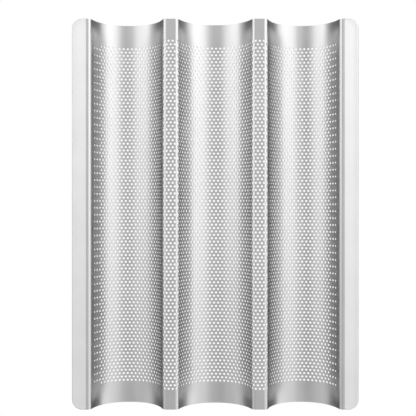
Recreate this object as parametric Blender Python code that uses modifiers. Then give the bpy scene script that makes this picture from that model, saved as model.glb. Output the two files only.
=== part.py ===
"""Three-trough baguette tray: one pressed sheet with two hemmed side rims, each stiffened by an edge wire.

Metres, +Z up. The origin is on the resting surface, under the middle of the tray. +Y runs along the
troughs and +X across them, so "left" is the -X side and "right" is the +X side.
"""
import math

import bmesh
import bpy

# Whole tray
TRAY_WIDTH = 0.2794
TRAY_LENGTH = 0.3810
TRAY_HEIGHT = 0.0305

# Trough sheet
SHEET = 0.0006
MIDDLE_DEPTH = 0.0260
BOTTOM_FLAT = 0.0020
DIVIDER_X = 0.0435
DIVIDER_FLAT = 0.0080
BEND_RADIUS = 0.0042
CREST_X = 0.1251
TROUGH_STEPS = 28
BEND_STEPS = 7

# Side rims
RIM_SHEET = 0.0005
GAP = 0.0003
RIM_INNER_X = 0.1260
LOWER_LEAF_X = 0.1275
CORNER_RADIUS = 0.0100
CORNER_STEPS = 10
WIRE_RADIUS = 0.0006
WIRE_START = 0.0010
WIRE_TO_LAND = 0.0012
NOTCH_BACK = 0.0001
HEM_FLAT = 0.0001
HEM_SEGMENTS = 3
WIRE_SEGMENTS = 3

# Metals: colour and roughness
SHEET_METAL = ((0.78, 0.78, 0.79), 0.24)
RIM_METAL = ((0.82, 0.82, 0.82), 0.30)
WIRE_METAL = ((0.55, 0.55, 0.56), 0.40)

# Worked out from the dimensions above; RIDGE_Z is the sheet's mid-surface where it is level
SLOT_HEIGHT = SHEET + 2 * GAP
SLOT_TOP = TRAY_HEIGHT - RIM_SHEET
SLOT_FLOOR = SLOT_TOP - SLOT_HEIGHT
RIDGE_Z = SLOT_TOP - SLOT_HEIGHT / 2
OUTER_DEPTH = RIDGE_Z - SHEET / 2
CHANNEL_RADIUS = WIRE_RADIUS + GAP
HEM_RADIUS = CHANNEL_RADIUS + RIM_SHEET
HEM_Z = TRAY_HEIGHT - HEM_RADIUS
RIM_FLOOR = TRAY_HEIGHT - 2 * HEM_RADIUS
LEAF_FLOOR = SLOT_FLOOR - RIM_SHEET
LAND_START_X = RIM_INNER_X - NOTCH_BACK
LAND_INSET = HEM_RADIUS + WIRE_RADIUS + WIRE_TO_LAND
LAND_END_X = TRAY_WIDTH / 2 - LAND_INSET

# Modelling: how far cutters reach past the metal, when points are one, and which edges stay sharp
CLEAR = 0.0050
MERGE = 0.00001
SHARP_ANGLE = math.radians(30)
WIRE_SHARP_ANGLE = math.radians(50)


def clear_scene():
    for obj in list(bpy.data.objects):
        bpy.data.objects.remove(obj, do_unlink=True)


def new_collection(name):
    collection = bpy.data.collections.new(name)
    bpy.context.scene.collection.children.link(collection)
    return collection


def metal(name, colour, roughness):
    material = bpy.data.materials.new(name)
    material.use_nodes = True
    shader = material.node_tree.nodes["Principled BSDF"]
    shader.inputs["Base Color"].default_value = (*colour, 1.0)
    shader.inputs["Metallic"].default_value = 1.0
    shader.inputs["Roughness"].default_value = roughness
    return material


def steps_between(start, end, steps):
    return [start + (end - start) * i / steps for i in range(steps + 1)]


# ---- cross-section of the trough sheet, as (x, z) points on its mid-surface ----

def rise(start_x, start_z, end_x, end_z, low_radius, high_radius, turn, low_steps, high_steps):
    """An S from a level start up to a level end: an upward curve, then a bend back to level."""
    low = [
        (start_x + low_radius * math.sin(a), start_z + low_radius * (1 - math.cos(a)))
        for a in steps_between(0, turn, low_steps)
    ]
    high = [
        (end_x - high_radius * math.sin(a), end_z - high_radius * (1 - math.cos(a)))
        for a in steps_between(turn, 0, high_steps)
    ]
    return low + high[1:]


def trough_side(width, depth):
    """From the middle of a trough's floor up to the level of the ridge beside it, starting at (0, 0)."""
    run = width - BOTTOM_FLAT / 2
    turn = 2 * math.atan(depth / run)
    radius = run / math.sin(turn) - BEND_RADIUS
    side = rise(BOTTOM_FLAT / 2, 0, width, depth, radius, BEND_RADIUS, turn, TROUGH_STEPS, BEND_STEPS)
    return [(0, 0)] + side


def half_section():
    """The right half of the sheet, from the middle of the tray out to the edge of its land."""
    near_edge = DIVIDER_X - DIVIDER_FLAT / 2
    far_edge = DIVIDER_X + DIVIDER_FLAT / 2
    middle = [(x, RIDGE_Z - MIDDLE_DEPTH + z) for x, z in trough_side(near_edge, MIDDLE_DEPTH)]
    outer_width = (CREST_X - far_edge) / 2
    outer_side = trough_side(outer_width, OUTER_DEPTH)
    centre_x = far_edge + outer_width
    falling = [(centre_x - x, RIDGE_Z - OUTER_DEPTH + z) for x, z in reversed(outer_side)]
    rising = [(centre_x + x, RIDGE_Z - OUTER_DEPTH + z) for x, z in outer_side[1:]]
    land = [(RIM_INNER_X, RIDGE_Z), (LAND_END_X + GAP, RIDGE_Z)]
    return middle + falling[:-1] + rising + land


# ---- plan of a rim: an end, a rounded corner, the long side, a corner and the other end ----

def rim_line(side, inner_x, inset):
    """The rim's three outer edges, moved inwards by inset, as (x, y) points."""
    radius = CORNER_RADIUS - inset
    corner_x = TRAY_WIDTH / 2 - CORNER_RADIUS
    corner_y = TRAY_LENGTH / 2 - CORNER_RADIUS
    near = [
        (corner_x + radius * math.cos(a), -corner_y + radius * math.sin(a))
        for a in steps_between(-math.pi / 2, 0, CORNER_STEPS)
    ]
    far = [(x, -y) for x, y in reversed(near)]
    end_y = corner_y + radius
    line = [(inner_x, -end_y)] + near + far + [(inner_x, end_y)]
    return [(side * x, y) for x, y in line]


# ---- objects ----

def add_mesh_object(name, mesh, collection, material=None):
    obj = bpy.data.objects.new(name, mesh)
    collection.objects.link(obj)
    if material:
        mesh.materials.append(material)
    return obj


def poly_curve(name, points, dimensions, cyclic):
    curve = bpy.data.curves.new(name, "CURVE")
    curve.dimensions = dimensions
    spline = curve.splines.new("POLY")
    spline.points.add(len(points) - 1)
    for point, place in zip(spline.points, points):
        point.co = (*place, 1.0)
    spline.use_cyclic_u = cyclic
    return curve


def mesh_from_curve(name, curve, collection, height=0.0, material=None):
    """The curve's shape as a welded mesh object, so that a Boolean can take it."""
    source = bpy.data.objects.new(name + "_curve", curve)
    source.location.z = height
    collection.objects.link(source)
    bpy.context.view_layer.update()
    graph = bpy.context.evaluated_depsgraph_get()
    mesh = bpy.data.meshes.new_from_object(source.evaluated_get(graph))
    shape = bmesh.new()
    shape.from_mesh(mesh)
    bmesh.ops.remove_doubles(shape, verts=shape.verts, dist=MERGE)
    bmesh.ops.recalc_face_normals(shape, faces=shape.faces)
    shape.to_mesh(mesh)
    shape.free()
    obj = add_mesh_object(name, mesh, collection, material)
    obj.matrix_world = source.matrix_world.copy()
    bpy.data.objects.remove(source)
    return obj


def as_cutter(obj):
    obj.hide_render = True
    obj.display_type = "WIRE"
    return obj


def slab(name, outline, low, high, collection, material=None, rounding=0.0):
    """The filled outline between two heights, its edges rounded without growing its plan."""
    curve = poly_curve(name, [(x, y, 0.0) for x, y in outline], "2D", True)
    curve.fill_mode = "BOTH"
    curve.extrude = (high - low) / 2 - rounding
    curve.bevel_depth = rounding
    curve.bevel_resolution = HEM_SEGMENTS
    curve.offset = -rounding
    return mesh_from_curve(name, curve, collection, (low + high) / 2, material)


def box_cutter(name, low, high, collection):
    bpy.ops.mesh.primitive_cube_add(size=1)
    obj = bpy.context.active_object
    obj.name = name
    obj.location = [(a + b) / 2 for a, b in zip(low, high)]
    obj.scale = [b - a for a, b in zip(low, high)]
    for old in list(obj.users_collection):
        old.objects.unlink(obj)
    collection.objects.link(obj)
    return as_cutter(obj)


def cut(obj, cutter):
    boolean = obj.modifiers.new("cut_" + cutter.name, "BOOLEAN")
    boolean.operation = "DIFFERENCE"
    boolean.object = cutter


def smooth(obj, angle=SHARP_ANGLE):
    obj.data.shade_smooth()
    obj.data.set_sharp_from_angle(angle=angle)


def make_trough_sheet(parts, cutters, material):
    mesh = bpy.data.meshes.new("trough_sheet")
    shape = bmesh.new()
    line = [shape.verts.new((x, -TRAY_LENGTH / 2, z)) for x, z in half_section()]
    edges = [shape.edges.new(pair) for pair in zip(line, line[1:])]
    swept = bmesh.ops.extrude_edge_only(shape, edges=edges)["geom"]
    far_verts = [item for item in swept if isinstance(item, bmesh.types.BMVert)]
    bmesh.ops.translate(shape, verts=far_verts, vec=(0, TRAY_LENGTH, 0))
    bmesh.ops.recalc_face_normals(shape, faces=shape.faces)
    shape.to_mesh(mesh)
    shape.free()
    obj = add_mesh_object("trough_sheet", mesh, parts, material)
    smooth(obj)
    mirror = obj.modifiers.new("other_half", "MIRROR")
    mirror.merge_threshold = MERGE
    thickness = obj.modifiers.new("sheet_thickness", "SOLIDIFY")
    thickness.thickness = SHEET
    thickness.offset = 0
    thickness.use_even_offset = True
    for side, side_name in ((-1, "left"), (1, "right")):
        cut(obj, land_trim(side_name + "_land_trim", side, cutters))
    return obj


def land_trim(name, side, cutters):
    """Everything outside the land's plan, a C round its outer edges, so that the wire has room."""
    far_x = TRAY_WIDTH / 2 + CLEAR
    far_y = TRAY_LENGTH / 2 + CLEAR
    corners = [(LAND_START_X, far_y), (far_x, far_y), (far_x, -far_y), (LAND_START_X, -far_y)]
    outline = rim_line(side, LAND_START_X, LAND_INSET) + [(side * x, y) for x, y in corners]
    return as_cutter(slab(name, outline, RIM_FLOOR - CLEAR, TRAY_HEIGHT, cutters))


def make_rim(name, side, parts, cutters, material):
    """A strip folded back under itself round the wire, open towards the trough to take the sheet's land."""
    inner_x = RIM_INNER_X - CLEAR
    past_x = inner_x - CLEAR
    outline = rim_line(side, inner_x, 0)
    rim = slab(name, outline, RIM_FLOOR, TRAY_HEIGHT, parts, material, HEM_RADIUS - HEM_FLAT)
    smooth(rim)

    slot_line = rim_line(side, past_x, HEM_RADIUS)
    slot = as_cutter(slab(name + "_slot", slot_line, SLOT_FLOOR, SLOT_TOP, cutters))
    recess_line = rim_line(side, past_x, 2 * HEM_RADIUS)
    recess = as_cutter(slab(name + "_recess", recess_line, RIM_FLOOR - CLEAR, LEAF_FLOOR, cutters))
    channel = as_cutter(wire_mesh(name + "_channel", side, past_x, CHANNEL_RADIUS, cutters))
    half = TRAY_LENGTH / 2
    spans = {
        "_seam": (past_x - CLEAR, RIM_INNER_X, half + CLEAR, RIM_FLOOR - CLEAR, TRAY_HEIGHT + CLEAR),
        "_leaf_edge": (past_x, LOWER_LEAF_X, half - 2 * HEM_RADIUS, RIM_FLOOR - CLEAR, SLOT_FLOOR + GAP),
    }
    trims = []
    for suffix, (near_x, far_x, far_y, low_z, high_z) in spans.items():
        xs = sorted((side * near_x, side * far_x))
        trims.append(box_cutter(name + suffix, (xs[0], -far_y, low_z), (xs[1], far_y, high_z), cutters))
    for cutter in (trims[0], slot, channel, recess, trims[1]):
        cut(rim, cutter)
    return rim


def wire_mesh(name, side, inner_x, radius, collection, material=None):
    line = [(x, y, 0.0) for x, y in rim_line(side, inner_x, HEM_RADIUS)]
    curve = poly_curve(name, line, "3D", False)
    curve.bevel_depth = radius
    curve.bevel_resolution = WIRE_SEGMENTS
    curve.use_fill_caps = True
    return mesh_from_curve(name, curve, collection, HEM_Z, material)


def make_edge_wire(name, side, parts, material):
    wire = wire_mesh(name, side, RIM_INNER_X + WIRE_START, WIRE_RADIUS, parts, material)
    smooth(wire, WIRE_SHARP_ANGLE)
    return wire


def main():
    clear_scene()
    parts = new_collection("baguette_tray")
    cutters = new_collection("cutters")
    sheet_steel = metal("sheet_steel", *SHEET_METAL)
    rim_steel = metal("rim_steel", *RIM_METAL)
    wire_steel = metal("wire_steel", *WIRE_METAL)
    make_trough_sheet(parts, cutters, sheet_steel)
    for side, side_name in ((-1, "left"), (1, "right")):
        make_rim(side_name + "_rim", side, parts, cutters, rim_steel)
        make_edge_wire(side_name + "_edge_wire", side, parts, wire_steel)


main()
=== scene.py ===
"""Baguette tray: the perforated trough sheet, the folded rims on its two long sides and their edge wires.

Metres, +Z up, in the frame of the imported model: +Y runs along the troughs and +X across them.
The sheet is laid out flat as a punched blank, in columns across and rows along, and then pressed
into the troughs, so the holes stretch with the metal as they do in the press.
"""
import math

import bpy
import numpy as np
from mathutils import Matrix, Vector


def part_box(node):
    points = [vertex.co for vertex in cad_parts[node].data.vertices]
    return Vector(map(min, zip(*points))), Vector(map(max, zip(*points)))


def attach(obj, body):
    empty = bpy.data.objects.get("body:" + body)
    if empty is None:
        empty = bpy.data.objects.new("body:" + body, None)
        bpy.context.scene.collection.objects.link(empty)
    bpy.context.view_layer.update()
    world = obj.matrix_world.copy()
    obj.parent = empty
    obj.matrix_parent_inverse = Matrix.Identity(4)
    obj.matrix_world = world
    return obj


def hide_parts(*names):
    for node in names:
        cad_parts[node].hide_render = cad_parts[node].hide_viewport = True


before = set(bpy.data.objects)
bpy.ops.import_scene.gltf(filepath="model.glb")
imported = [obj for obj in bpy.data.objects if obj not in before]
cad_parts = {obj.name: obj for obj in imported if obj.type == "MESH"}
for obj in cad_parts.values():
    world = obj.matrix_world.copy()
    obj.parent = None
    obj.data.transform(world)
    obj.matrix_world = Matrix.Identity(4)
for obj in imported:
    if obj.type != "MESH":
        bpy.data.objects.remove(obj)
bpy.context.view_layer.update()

# Whole tray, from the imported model
_, SHEET_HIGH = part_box("trough_sheet")
RIM_LOW, RIM_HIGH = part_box("right_rim")
HALF_LENGTH = SHEET_HIGH.y
HALF_WIDTH = RIM_HIGH.x

# Pressed section of the sheet
SHEET = 0.0006
RIDGE_Z = SHEET_HIGH.z - SHEET / 2
MIDDLE_DEPTH = 0.0260
OUTER_DEPTH = SHEET_HIGH.z - SHEET
BOTTOM_FLAT = 0.0020
DIVIDER_X = 0.0435
DIVIDER_FLAT = 0.0080
BEND_RADIUS = 0.0042
CREST_X = 0.1251
LAND_INSET = 0.0032
LAND_START_X = RIM_LOW.x - 0.0001
LAND_END_X = HALF_WIDTH - LAND_INSET
CORNER_RADIUS = 0.0100

# Punched pattern: a 60 degree stagger, counted in half pitches across and in rows along.
# Some holes beside each rim are left out, and the rows draw together where the sheet goes deep.
HALF_PITCH = 0.0020
ROW_PITCH = HALF_PITCH * math.sqrt(3)
ROWS = 99
ROW_SHIFT = -0.0006
COLUMNS_A_SIDE = 75
HOLE_RADIUS = 0.00112
HOLE_SIDES = 12
DIVIDER_COLUMN = 26.5
LAST_HOLE_X = 0.1189
MISSING_FROM_EDGE = (1, 3)
ROW_DRAW_IN = 0.0125
ROW_DRAW_DEPTH = 0.0060
BEND_STEPS = 6
LAND_CORNER_STEPS = 6
NOTCH_STEP = 0.00005
LEAST_LINE_SPACING = 0.12
SECTION_SAMPLES = 4001
HAIR = 1e-6

# Side rims; an inset is measured inwards from the rim's outer edge
RIM_SHEET = 0.0005
RIM_INNER_X = RIM_LOW.x
RIM_TOP = RIM_HIGH.z
LOWER_LEAF_X = 0.1275
LEAF_FLOOR = 0.0283
LEAF_INSET = 0.0096
RETURN_INSET = 0.0034
CROWN_INSET = 0.0060
CROWN_RISE = 0.00022
HEM_RADIUS = 0.0014
FOLD_RADIUS = 0.0003
FOLD_TURN = math.radians(60)
LEAF_STEPS = 3
CROWN_STEPS = 9
FOLD_STEPS = 4
ROLL_STEPS = 10
RETURN_STEPS = 6
CORNER_STEPS = 20
SHARP_ANGLE = math.radians(35)

# Metals: two shades, roughness, and how deep the grain is
SHEET_METAL = ((0.65, 0.65, 0.655), (0.71, 0.71, 0.71), 0.33, 0.00002)
RIM_METAL = ((0.94, 0.94, 0.94), (0.98, 0.98, 0.98), 0.48, 0.00002)
WIRE_METAL = ((0.50, 0.50, 0.51), (0.60, 0.60, 0.60), 0.40, 0.00001)
EDGE_TINT = 0.6
GRAIN_STRETCH = (2600, 30, 2600)
GRAIN_DETAIL = 3.0
MOTTLE_SCALE = 34.0
MOTTLE_DETAIL = 4.0
SCRATCH_STRETCH = (70, 1900, 300)
SCRATCH_DETAIL = 1.0
SCRATCH_RANGE = (0.70, 0.78)
SCRATCH_ROUGHNESS = 0.08
ROUGHNESS_SPREAD = 0.04
NOISE_RANGE = (0.3, 0.7)
GRAIN_RANGE = (0.2, 0.8)
BUMP_STRENGTH = 0.35

# Camera and floor
CAMERA_PLACE = (-0.00710, 0.00600, 0.7497)
CAMERA_LENS = 63.94
SENSOR_WIDTH = 36
FLOOR_SIZE = 6.0
FLOOR_Z = -0.0002
FLOOR_GLOW = 1.0
FLOOR_SHADE = 0.15
FLOOR_ROUGHNESS = 0.9

# Room light: even overhead, brighter low down on both sides, and stronger on the +X side
ROOM_LIGHT = 0.56
SIDE_LIGHT = 0.90
SIDE_RANGE = (0.75, 0.93)
ROOM_LEAN = 0.28
LEAN_RANGE = (-0.5, 0.5)

# Softboxes, one on each side of a gap over the tray. Across, each fades in over EDGE, is even up to
# FULL and reaches its OUTER share at its outer edge; along, it rises from its DIM share over FADE.
SOFTBOX_WIDTH = 2.60
SOFTBOX_LENGTH = 3.0
SOFTBOX_Y = 0.2
SOFTBOX_Z = 0.80
SOFTBOX_EDGE = 0.40
SOFTBOX_FULL = 1.00
SOFTBOX_FADE = (-0.42, 0.60)
SOFTBOX_DIM = 0.16
LEFT_GAP = 0.13
LEFT_LIGHT = 1.15
LEFT_OUTER = 1.00
RIGHT_GAP = 0.11
RIGHT_LIGHT = 1.00
RIGHT_OUTER = 0.55


# ---- section of the sheet: straight and curved runs laid end to end ----

def pressed_turn(run, depth):
    """The angle that an S from level to level turns through, for its run and its depth."""
    return 2 * math.atan(depth / run)


def section_runs():
    """(kind, length, turn) of each run of the right half, from the middle of the tray to the land's edge."""
    near_edge = DIVIDER_X - DIVIDER_FLAT / 2
    far_edge = DIVIDER_X + DIVIDER_FLAT / 2
    flat = BOTTOM_FLAT / 2
    outer_half = (CREST_X - far_edge) / 2
    middle_turn = pressed_turn(near_edge - flat, MIDDLE_DEPTH)
    outer_turn = pressed_turn(outer_half - flat, OUTER_DEPTH)
    middle_radius = (near_edge - flat) / math.sin(middle_turn) - BEND_RADIUS
    outer_radius = (outer_half - flat) / math.sin(outer_turn) - BEND_RADIUS
    return [
        ("bottom", flat, 0),
        ("wall", middle_radius * middle_turn, middle_turn),
        ("bend", BEND_RADIUS * middle_turn, -middle_turn),
        ("divider", DIVIDER_FLAT, 0),
        ("bend", BEND_RADIUS * outer_turn, -outer_turn),
        ("wall", outer_radius * outer_turn, outer_turn),
        ("bottom", BOTTOM_FLAT, 0),
        ("wall", outer_radius * outer_turn, outer_turn),
        ("bend", BEND_RADIUS * outer_turn, -outer_turn),
        ("land", LAND_END_X - CREST_X, 0),
    ]


class Section:
    """The sheet's mid-surface as a function of the distance along it from the middle of the tray."""

    def __init__(self, start_z):
        self.runs = section_runs()
        self.starts, self.heads, self.points = [0.0], [0.0], [(0.0, start_z)]
        for _, length, turn in self.runs:
            x, z = self.points[-1]
            head = self.heads[-1]
            chord = length if turn == 0 else 2 * length / turn * math.sin(turn / 2)
            self.points.append((x + chord * math.cos(head + turn / 2), z + chord * math.sin(head + turn / 2)))
            self.heads.append(head + turn)
            self.starts.append(self.starts[-1] + length)

    def at(self, distance):
        """Points (x, z) and upward normals (x, z) at signed distances from the middle."""
        side = np.sign(distance)
        distance = np.minimum(np.abs(distance), self.starts[-1])
        run = np.clip(np.searchsorted(self.starts, distance, side="right") - 1, 0, len(self.runs) - 1)
        lengths = np.array([length for _, length, _ in self.runs])
        turns = np.array([turn for _, _, turn in self.runs])
        start = np.array(self.starts)[run]
        head = np.array(self.heads)[run]
        origin = np.array(self.points)[run]
        turned = turns[run] * (distance - start) / lengths[run]
        chord = (distance - start) * np.sinc(turned / 2 / math.pi)
        x = origin[:, 0] + chord * np.cos(head + turned / 2)
        z = origin[:, 1] + chord * np.sin(head + turned / 2)
        heading = head + turned
        return np.stack([side * x, z], 1), np.stack([-side * np.sin(heading), np.cos(heading)], 1)


section = Section(RIDGE_Z - MIDDLE_DEPTH)


def distance_at(x):
    """How far along the section the point at x lies."""
    distances = np.linspace(0, section.starts[-1], SECTION_SAMPLES)
    return float(np.interp(x, section.at(distances)[0][:, 0], distances))


# ---- the blank: column positions, in half pitches, against distance along the section ----

EDGE_COLUMN = COLUMNS_A_SIDE + 0.5
half_flat_columns = DIVIDER_FLAT / 2 / HALF_PITCH
divider_start, divider_end = section.starts[3], section.starts[4]
outer_stretch = (distance_at(LAST_HOLE_X) - divider_end) / (
    COLUMNS_A_SIDE - 0.5 - DIVIDER_COLUMN - half_flat_columns
)
perforated_end = divider_end + outer_stretch * (EDGE_COLUMN - DIVIDER_COLUMN - half_flat_columns)
COLUMN_KNOTS = [
    0.0,
    DIVIDER_COLUMN - half_flat_columns,
    DIVIDER_COLUMN + half_flat_columns,
    EDGE_COLUMN,
    EDGE_COLUMN + (section.starts[-1] - perforated_end) / HALF_PITCH,
]
DISTANCE_KNOTS = [0.0, divider_start, divider_end, perforated_end, section.starts[-1]]


def land_reach(x):
    """How far along the sheet extends at x: its full length, or less inside the rim and round its corners."""
    radius = CORNER_RADIUS - LAND_INSET
    past_corner = np.clip(x - (HALF_WIDTH - CORNER_RADIUS), 0, radius)
    rounded = HALF_LENGTH - CORNER_RADIUS + np.sqrt(radius * radius - past_corner * past_corner)
    return np.where(x > LAND_START_X - HAIR, rounded, HALF_LENGTH)


def formed(columns, rows, straight):
    """Where points of the blank end up on the pressed mid-surface, and their normals."""
    distance = np.sign(columns) * np.interp(np.abs(columns), COLUMN_KNOTS, DISTANCE_KNOTS)
    place, normal = section.at(distance)
    depth = np.maximum(RIDGE_Z - place[:, 1], 0)
    draw_in = ROW_DRAW_IN * (1 - np.exp(-depth / ROW_DRAW_DEPTH))
    y = np.where(straight, rows, rows * (1 - draw_in))
    reach = land_reach(np.abs(place[:, 0]))
    y = np.clip(y, -reach, reach)
    flat = np.zeros(len(columns))
    return np.stack([place[:, 0], y, place[:, 1]], 1), np.stack([normal[:, 0], flat, normal[:, 1]], 1)


def column_lines():
    """Every column at which the blank has grid lines: the pattern's own, and finer ones round the bends."""
    lines = set(np.arange(-EDGE_COLUMN, EDGE_COLUMN + 1).tolist())
    for index, (kind, length, _) in enumerate(section.runs):
        if kind == "bend":
            start = section.starts[index]
            for distance in np.linspace(start, start + length, BEND_STEPS + 1):
                column = float(np.interp(distance, DISTANCE_KNOTS, COLUMN_KNOTS))
                if min(abs(line - column) for line in lines) > LEAST_LINE_SPACING:
                    lines |= {column, -column}
    turns = np.linspace(0, math.pi / 2, LAND_CORNER_STEPS + 1)
    arc = HALF_WIDTH - CORNER_RADIUS + (CORNER_RADIUS - LAND_INSET) * np.sin(turns)
    for x in [LAND_START_X - NOTCH_STEP, LAND_START_X, *arc]:
        column = float(np.interp(distance_at(x), DISTANCE_KNOTS, COLUMN_KNOTS))
        lines |= {column, -column}
    return np.array(sorted(lines))


def ring_pattern(low, high, between):
    """Triangles between a cell's outline and its hole, as indices: outline points first, then the hole's."""
    middle = (low + high) / 2
    half_row = ROW_PITCH / HALF_PITCH / 2
    outline = [(column - middle, -half_row) for column in between]
    outline += [(column - middle, half_row) for column in reversed(between)]
    outer_angles = [math.atan2(y, x) % (2 * math.pi) for x, y in outline]
    first = int(np.argmin(outer_angles))
    outer = [(first + i) % len(outline) for i in range(len(outline))]
    triangles = []
    i = j = 0
    while i < len(outer) or j < HOLE_SIDES:
        outer_next = outer_angles[outer[(i + 1) % len(outer)]] + 2 * math.pi * ((i + 1) // len(outer))
        hole_next = 2 * math.pi * (j + 1) / HOLE_SIDES
        a = outer[i % len(outer)]
        b = len(outline) + j % HOLE_SIDES
        if j >= HOLE_SIDES or (i < len(outer) and outer_next < hole_next):
            triangles.append((a, outer[(i + 1) % len(outer)], b))
            i += 1
        else:
            triangles.append((a, len(outline) + (j + 1) % HOLE_SIDES, b))
            j += 1
    return triangles


class Blank:
    """The flat blank as polygons: cells with a hole, solid cells, and the plain margins round them."""

    def __init__(self):
        self.columns = column_lines()
        row_lines = (np.arange(ROWS + 1) - ROWS / 2) * ROW_PITCH + ROW_SHIFT
        self.rows = np.concatenate([[-HALF_LENGTH], row_lines, [HALF_LENGTH]])
        grid_columns, grid_rows = np.meshgrid(self.columns, self.rows)
        self.points = [np.stack([grid_columns.ravel(), grid_rows.ravel()], 1)]
        self.count = grid_columns.size
        self.faces = []
        self.trough = []
        self.rings = {}
        self.patterns = {}
        self.index = {round(float(column), 4): i for i, column in enumerate(self.columns)}

    def vertex(self, line, column_index):
        return line * len(self.columns) + column_index

    def side_of(self, column):
        return 0 if abs(column) < DIVIDER_COLUMN else int(math.copysign(1, column))

    def add_face(self, face, column):
        self.faces.append(face)
        self.trough.append(self.side_of(column))

    def add_strip(self, line, low, high):
        """Plain quads between two grid lines along, from one column to another."""
        for i in range(self.index[low], self.index[high]):
            corners = [(line, i), (line, i + 1), (line + 1, i + 1), (line + 1, i)]
            middle = (self.columns[i] + self.columns[i + 1]) / 2
            self.add_face([self.vertex(*corner) for corner in corners], middle)

    def add_hole(self, line, low, high):
        """A cell with a round hole in its middle."""
        first, last = self.index[low], self.index[high]
        between = self.columns[first:last + 1]
        key = tuple(np.round(between - low, 4))
        if key not in self.patterns:
            self.patterns[key] = ring_pattern(low, high, between)
        outline = [self.vertex(line, i) for i in range(first, last + 1)]
        outline += [self.vertex(line + 1, i) for i in range(last, first - 1, -1)]
        hole = range(self.count, self.count + HOLE_SIDES)
        middle = (low + high) / 2
        row = (self.rows[line] + self.rows[line + 1]) / 2
        angles = 2 * math.pi * np.arange(HOLE_SIDES) / HOLE_SIDES
        across = middle + HOLE_RADIUS / HALF_PITCH * np.cos(angles)
        self.points.append(np.stack([across, row + HOLE_RADIUS * np.sin(angles)], 1))
        self.count += HOLE_SIDES
        for point in hole:
            self.rings[point] = (middle, row)
        corners = outline + list(hole)
        for triangle in self.patterns[key]:
            self.add_face([corners[i] for i in triangle], middle)

    def fill(self):
        first, last = round(float(self.columns[0]), 4), round(float(self.columns[-1]), 4)
        self.add_strip(0, first, last)
        self.add_strip(ROWS + 1, first, last)
        for row in range(ROWS):
            line = row + 1
            self.add_strip(line, first, -EDGE_COLUMN)
            self.add_strip(line, EDGE_COLUMN, last)
            starts = -EDGE_COLUMN if row % 2 else -EDGE_COLUMN + 1
            if starts > -EDGE_COLUMN:
                self.add_strip(line, -EDGE_COLUMN, starts)
            ends = EDGE_COLUMN - 1 if row % 2 else EDGE_COLUMN
            if ends < EDGE_COLUMN:
                self.add_strip(line, ends, EDGE_COLUMN)
            for low in np.arange(starts, ends, 2):
                low = float(low)
                from_edge = COLUMNS_A_SIDE - 0.5 - abs(low + 1)
                if from_edge in MISSING_FROM_EDGE:
                    self.add_strip(line, low, low + 2)
                else:
                    self.add_hole(line, low, low + 2)
        return self

    def press(self):
        """Forms the filled blank and the centres of its holes into the troughs."""
        flat = np.concatenate(self.points)
        straight = np.abs(flat[:, 1]) > HALF_LENGTH - HAIR
        self.formed_points, self.formed_normals = formed(flat[:, 0], flat[:, 1], straight)
        keys = list(self.rings)
        centres = np.array([self.rings[key] for key in keys])
        places, _ = formed(centres[:, 0], centres[:, 1], np.zeros(len(keys), bool))
        self.centres = dict(zip(keys, places))
        return self


def edges_of(faces):
    """The directed edges of a list of faces that no other face shares, which bound the surface."""
    seen = {}
    for face in faces:
        for edge in zip(face, face[1:] + face[:1]):
            seen[edge] = True
    return [(a, b) for a, b in seen if (b, a) not in seen]


def plate(name, blank, side, material):
    """One trough's share of the sheet, with its thickness, its hole walls and its cut edges."""
    faces = [face for face, trough in zip(blank.faces, blank.trough) if trough == side]
    used = sorted({vertex for face in faces for vertex in face})
    local = {vertex: i for i, vertex in enumerate(used)}
    count = len(used)
    middle, normal = blank.formed_points[used], blank.formed_normals[used]
    vertices = np.concatenate([middle + normal * SHEET / 2, middle - normal * SHEET / 2])
    top = [[local[v] for v in face] for face in faces]
    bottom = [[i + count for i in reversed(face)] for face in top]
    rim = [(local[a], local[b]) for a, b in edges_of(faces)]
    walls = [[a, a + count, b + count, b] for a, b in rim]

    mesh = bpy.data.meshes.new(name)
    mesh.from_pydata(vertices.tolist(), [], top + bottom + walls)
    both_sides = np.concatenate([normal, -normal]).tolist()
    loop_normals = [both_sides[i] for face in top + bottom for i in face]
    for a, b in rim:
        towards = [hole_side(blank, used[i], middle[i], normal[i]) for i in (a, b)]
        if towards[0] is None or towards[1] is None:
            outwards = np.cross(middle[b] - middle[a], normal[a] + normal[b])
            towards = [outwards / np.linalg.norm(outwards)] * 2
        loop_normals += [towards[0], towards[0], towards[1], towards[1]]
    mesh.normals_split_custom_set(loop_normals)
    mesh.materials.append(material)
    mesh.update()
    obj = bpy.data.objects.new(name, mesh)
    bpy.context.scene.collection.objects.link(obj)
    return obj


def hole_side(blank, vertex, place, normal):
    """The direction from a hole's edge to its centre, or nothing for a point that is on no hole."""
    if vertex not in blank.centres:
        return None
    inward = blank.centres[vertex] - place
    inward = inward - normal * np.dot(inward, normal)
    return inward / np.linalg.norm(inward)


def make_sheet(material):
    blank = Blank().fill().press()
    for name, side in (("left_trough", -1), ("middle_trough", 0), ("right_trough", 1)):
        piece = plate(name, blank, side, material)
        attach(piece, "root")
        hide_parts("trough_sheet")


# ---- side rims: a strip folded over the land, rolled round the wire and back underneath ----

def rim_line(side, inner_x, inset):
    """Points round the rim's plan, moved inwards by inset: an end, a corner, the long side and back."""
    radius = CORNER_RADIUS - inset
    corner_x, corner_y = HALF_WIDTH - CORNER_RADIUS, HALF_LENGTH - CORNER_RADIUS
    angles = np.linspace(-math.pi / 2, 0, CORNER_STEPS + 1)
    near = np.stack([corner_x + radius * np.cos(angles), -corner_y + radius * np.sin(angles)], 1)
    half = np.concatenate([[(inner_x, -HALF_LENGTH + inset)], near])
    return np.concatenate([half, half[::-1] * (1, -1)]) * (side, 1)


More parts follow.
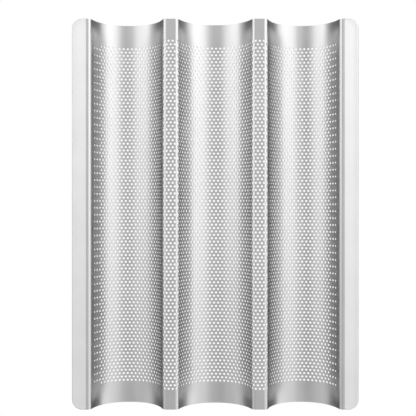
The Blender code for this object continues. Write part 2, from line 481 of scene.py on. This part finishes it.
def rim_fold():
    """The fold's centreline as (inset, z, inner_x) rows, from the top leaf round the wire and back under."""
    roll = HEM_RADIUS - RIM_SHEET / 2
    top_z = RIM_TOP - RIM_SHEET / 2
    centre_z = top_z - roll
    slope_x = HEM_RADIUS - roll * math.sin(FOLD_TURN)
    slope_drop = roll * (1 - math.cos(FOLD_TURN)) - FOLD_RADIUS * (1 - math.cos(FOLD_TURN))
    fold_x = slope_x + slope_drop / math.tan(FOLD_TURN) + FOLD_RADIUS * math.sin(FOLD_TURN)
    lower_z = LEAF_FLOOR + RIM_SHEET / 2
    rows = []
    for inset in np.linspace(LEAF_INSET, CROWN_INSET, LEAF_STEPS + 1)[:-1]:
        rows.append((inset, top_z - CROWN_RISE, RIM_INNER_X))
    for inset in np.linspace(CROWN_INSET, fold_x, CROWN_STEPS + 1)[:-1]:
        rise = CROWN_RISE * ((CROWN_INSET - inset) / (CROWN_INSET - fold_x)) ** 2
        rows.append((inset, top_z - CROWN_RISE + rise, RIM_INNER_X))
    for turn in np.linspace(0, FOLD_TURN, FOLD_STEPS + 1):
        drop = FOLD_RADIUS * (1 - math.cos(turn))
        rows.append((fold_x - FOLD_RADIUS * math.sin(turn), top_z - drop, RIM_INNER_X))
    for turn in np.linspace(FOLD_TURN, math.pi, ROLL_STEPS + 1):
        rows.append((HEM_RADIUS - roll * math.sin(turn), centre_z + roll * math.cos(turn), RIM_INNER_X))
    bottom_z = centre_z - roll
    for share in np.linspace(0, 1, RETURN_STEPS + 1)[1:]:
        inset = HEM_RADIUS + share * (RETURN_INSET - HEM_RADIUS)
        rows.append((inset, bottom_z + (lower_z - bottom_z) * share * share * (3 - 2 * share), LOWER_LEAF_X))
    rows.append((LEAF_INSET, lower_z, LOWER_LEAF_X))
    return np.array(rows)


def rim_mesh(name, side):
    """The rim as one closed shell: its outer and inner skins, the leaves' flats and all its cut edges."""
    fold = rim_fold()
    tangent = np.gradient(fold[:, :2], axis=0)
    tangent /= np.linalg.norm(tangent, axis=1)[:, None]
    normal = np.stack([tangent[:, 1], -tangent[:, 0]], 1)
    skins = [fold[:, :2] + sign * normal * RIM_SHEET / 2 for sign in (1, -1)]
    vertices = []
    for skin in skins:
        for (inset, z), inner_x in zip(skin, fold[:, 2]):
            vertices += [(x, y, z) for x, y in rim_line(side, inner_x, inset)]
    around = len(rim_line(side, RIM_INNER_X, 0))
    rows = len(fold)

    def vertex(skin, row, i):
        return (skin * rows + row) * around + i

    faces = []
    for row in range(rows - 1):
        for i in range(around - 1):
            here, along, over, across = (row, i), (row, i + 1), (row + 1, i + 1), (row + 1, i)
            outer = [vertex(0, *corner) for corner in (here, along, over, across)]
            inner = [vertex(1, *corner) for corner in (here, across, over, along)]
            faces += [outer, inner]
        for i, turn in ((0, 1), (around - 1, -1)):
            cap = [vertex(0, row, i), vertex(0, row + 1, i), vertex(1, row + 1, i), vertex(1, row, i)]
            faces.append(cap[::turn])
    for row, turn in ((0, 1), (rows - 1, -1)):
        flats = [[vertex(skin, row, i) for i in range(around)] for skin in (0, 1)]
        faces.append(flats[0][::-turn])
        faces.append(flats[1][::turn])
        edge = [flats[0][0], flats[1][0], flats[1][-1], flats[0][-1]]
        faces.append(edge[::turn])
    if side > 0:
        faces = [face[::-1] for face in faces]
    mesh = bpy.data.meshes.new(name)
    mesh.from_pydata(vertices, [], faces)
    mesh.update()
    return mesh


def make_rim(name, side, material):
    mesh = rim_mesh(name, side)
    mesh.materials.append(material)
    mesh.shade_smooth()
    mesh.set_sharp_from_angle(angle=SHARP_ANGLE)
    rim = bpy.data.objects.new(name, mesh)
    bpy.context.scene.collection.objects.link(rim)
    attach(rim, "root")
    return rim


# ---- shader nodes ----

def new_node(tree, kind, **inputs):
    """A node with some inputs set by name; an underscore stands for a space."""
    node = tree.nodes.new(kind)
    for name, value in inputs.items():
        node.inputs[name.replace("_", " ")].default_value = value
    return node


def calculated(tree, operation, *sources):
    """What a Math node makes of one or two outputs."""
    node = tree.nodes.new("ShaderNodeMath")
    node.operation = operation
    for source, socket in zip(sources, node.inputs):
        tree.links.new(source, socket)
    return node.outputs["Value"]


def ranged(tree, source, span, low=0.0, high=1.0, smooth=False):
    """An output taken from its own span to low..high, and held there outside the span."""
    node = new_node(tree, "ShaderNodeMapRange", From_Min=span[0], From_Max=span[1], To_Min=low, To_Max=high)
    if smooth:
        node.interpolation_type = "SMOOTHSTEP"
    tree.links.new(source, node.inputs["Value"])
    return node.outputs["Result"]


def split_axes(tree, source):
    node = tree.nodes.new("ShaderNodeSeparateXYZ")
    tree.links.new(source, node.inputs["Vector"])
    return node.outputs


# ---- materials ----

def steel(name, dark, light, roughness, grain_depth):
    """Bare metal: a rolling grain along Y, soft mottling, and a few handling scratches."""
    material = bpy.data.materials.new(name)
    material.use_nodes = True
    tree = material.node_tree
    shader = tree.nodes["Principled BSDF"]
    shader.inputs["Metallic"].default_value = 1.0
    shader.inputs["Specular Tint"].default_value = (EDGE_TINT, EDGE_TINT, EDGE_TINT, 1)
    place = tree.nodes.new("ShaderNodeTexCoord")

    def noise(scale, detail, stretch):
        mapping = new_node(tree, "ShaderNodeMapping", Scale=stretch)
        texture = new_node(tree, "ShaderNodeTexNoise", Scale=scale, Detail=detail)
        tree.links.new(place.outputs["Object"], mapping.inputs["Vector"])
        tree.links.new(mapping.outputs["Vector"], texture.inputs["Vector"])
        return texture.outputs["Fac"]

    grain = noise(1.0, GRAIN_DETAIL, GRAIN_STRETCH)
    mottle = noise(MOTTLE_SCALE, MOTTLE_DETAIL, (1, 1, 1))
    scratch = noise(1.0, SCRATCH_DETAIL, SCRATCH_STRETCH)

    colour = tree.nodes.new("ShaderNodeMix")
    colour.data_type = "RGBA"
    colour.inputs["A"].default_value = (*dark, 1)
    colour.inputs["B"].default_value = (*light, 1)
    halves = [ranged(tree, source, NOISE_RANGE, high=0.5) for source in (grain, mottle)]
    tree.links.new(calculated(tree, "ADD", *halves), colour.inputs["Factor"])
    tree.links.new(colour.outputs["Result"], shader.inputs["Base Color"])

    patchy = ranged(tree, mottle, NOISE_RANGE, roughness - ROUGHNESS_SPREAD, roughness + ROUGHNESS_SPREAD)
    scratched = ranged(tree, scratch, SCRATCH_RANGE, high=SCRATCH_ROUGHNESS)
    tree.links.new(calculated(tree, "ADD", patchy, scratched), shader.inputs["Roughness"])

    ridges = ranged(tree, grain, GRAIN_RANGE)
    grooves = ranged(tree, scratch, SCRATCH_RANGE)
    bump = new_node(tree, "ShaderNodeBump", Strength=BUMP_STRENGTH, Distance=grain_depth)
    tree.links.new(calculated(tree, "SUBTRACT", ridges, grooves), bump.inputs["Height"])
    tree.links.new(bump.outputs["Normal"], shader.inputs["Normal"])
    return material


# ---- studio ----

def make_floor():
    """A floor that the camera sees as plain white and that passes only a little light back to the tray."""
    mesh = bpy.data.meshes.new("studio_floor")
    half = FLOOR_SIZE / 2
    corners = [(-half, -half, 0), (half, -half, 0), (half, half, 0), (-half, half, 0)]
    mesh.from_pydata(corners, [], [(0, 1, 2, 3)])
    material = bpy.data.materials.new("white_floor")
    material.use_nodes = True
    tree = material.node_tree
    shader = tree.nodes["Principled BSDF"]
    shader.inputs["Base Color"].default_value = (FLOOR_SHADE, FLOOR_SHADE, FLOOR_SHADE, 1)
    shader.inputs["Roughness"].default_value = FLOOR_ROUGHNESS
    seen = new_node(tree, "ShaderNodeEmission", Strength=FLOOR_GLOW)
    path = tree.nodes.new("ShaderNodeLightPath")
    either = tree.nodes.new("ShaderNodeMixShader")
    tree.links.new(path.outputs["Is Camera Ray"], either.inputs["Fac"])
    tree.links.new(shader.outputs["BSDF"], either.inputs[1])
    tree.links.new(seen.outputs["Emission"], either.inputs[2])
    tree.links.new(either.outputs["Shader"], tree.nodes["Material Output"].inputs["Surface"])
    mesh.materials.append(material)
    floor = bpy.data.objects.new("studio_floor", mesh)
    floor.location.z = FLOOR_Z
    bpy.context.scene.collection.objects.link(floor)


def softbox(name, side, gap, strength, outer):
    """A long soft light that faces straight down beside the tray, fading in outwards and towards +Y."""
    width, length = SOFTBOX_WIDTH, SOFTBOX_LENGTH
    light = bpy.data.lights.new(name, "AREA")
    light.shape = "RECTANGLE"
    light.size = width
    light.size_y = length
    light.energy = strength * width * length * math.pi
    light.use_nodes = True
    tree = light.node_tree
    place = split_axes(tree, tree.nodes.new("ShaderNodeNewGeometry").outputs["Position"])
    along = ranged(tree, place["Y"], SOFTBOX_FADE, low=SOFTBOX_DIM)
    across = ranged(tree, place["X"], (side * gap, side * (gap + SOFTBOX_EDGE)), smooth=True)
    outwards = ranged(tree, place["X"], (side * SOFTBOX_FULL, side * (gap + width)), 1.0, outer)
    glow = calculated(tree, "MULTIPLY", calculated(tree, "MULTIPLY", along, across), outwards)
    tree.links.new(glow, tree.nodes["Emission"].inputs["Strength"])
    obj = bpy.data.objects.new(name, light)
    obj.location = (side * (gap + width / 2), SOFTBOX_Y, SOFTBOX_Z)
    obj.visible_camera = False
    bpy.context.scene.collection.objects.link(obj)


def make_room():
    """The room's own light, and plain white where the camera looks past the floor."""
    world = bpy.data.worlds.new("studio")
    bpy.context.scene.world = world
    world.use_nodes = True
    tree = world.node_tree
    background = tree.nodes["Background"]
    background.inputs["Strength"].default_value = 1.0
    towards = split_axes(tree, tree.nodes.new("ShaderNodeTexCoord").outputs["Generated"])
    sideways = calculated(tree, "ABSOLUTE", towards["X"])
    even = ranged(tree, sideways, SIDE_RANGE, ROOM_LIGHT, SIDE_LIGHT)
    lean = ranged(tree, towards["X"], LEAN_RANGE, 1 - ROOM_LEAN, 1 + ROOM_LEAN)
    seen = tree.nodes.new("ShaderNodeMix")
    seen.data_type = "RGBA"
    seen.inputs["B"].default_value = (1, 1, 1, 1)
    tree.links.new(calculated(tree, "MULTIPLY", even, lean), seen.inputs["A"])
    path = tree.nodes.new("ShaderNodeLightPath")
    tree.links.new(path.outputs["Is Camera Ray"], seen.inputs["Factor"])
    tree.links.new(seen.outputs["Result"], background.inputs["Color"])


def make_camera():
    camera = bpy.data.cameras.new("camera")
    camera.lens = CAMERA_LENS
    camera.sensor_width = SENSOR_WIDTH
    obj = bpy.data.objects.new("camera", camera)
    obj.location = CAMERA_PLACE
    bpy.context.scene.collection.objects.link(obj)
    bpy.context.scene.camera = obj


sheet_steel = steel("sheet_steel", *SHEET_METAL)
rim_steel = steel("rim_steel", *RIM_METAL)
wire_steel = steel("wire_steel", *WIRE_METAL)

make_camera()
make_floor()
softbox("left_softbox", -1, LEFT_GAP, LEFT_LIGHT, LEFT_OUTER)
softbox("right_softbox", 1, RIGHT_GAP, RIGHT_LIGHT, RIGHT_OUTER)
make_room()
make_sheet(sheet_steel)
for side, side_name in ((-1, "left"), (1, "right")):
    rim = make_rim(side_name + "_folded_rim", side, rim_steel)
    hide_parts(side_name + "_rim")
    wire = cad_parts[side_name + "_edge_wire"]
    wire.data.materials.clear()
    wire.data.materials.append(wire_steel)

bpy.context.scene.view_settings.view_transform = "Standard"
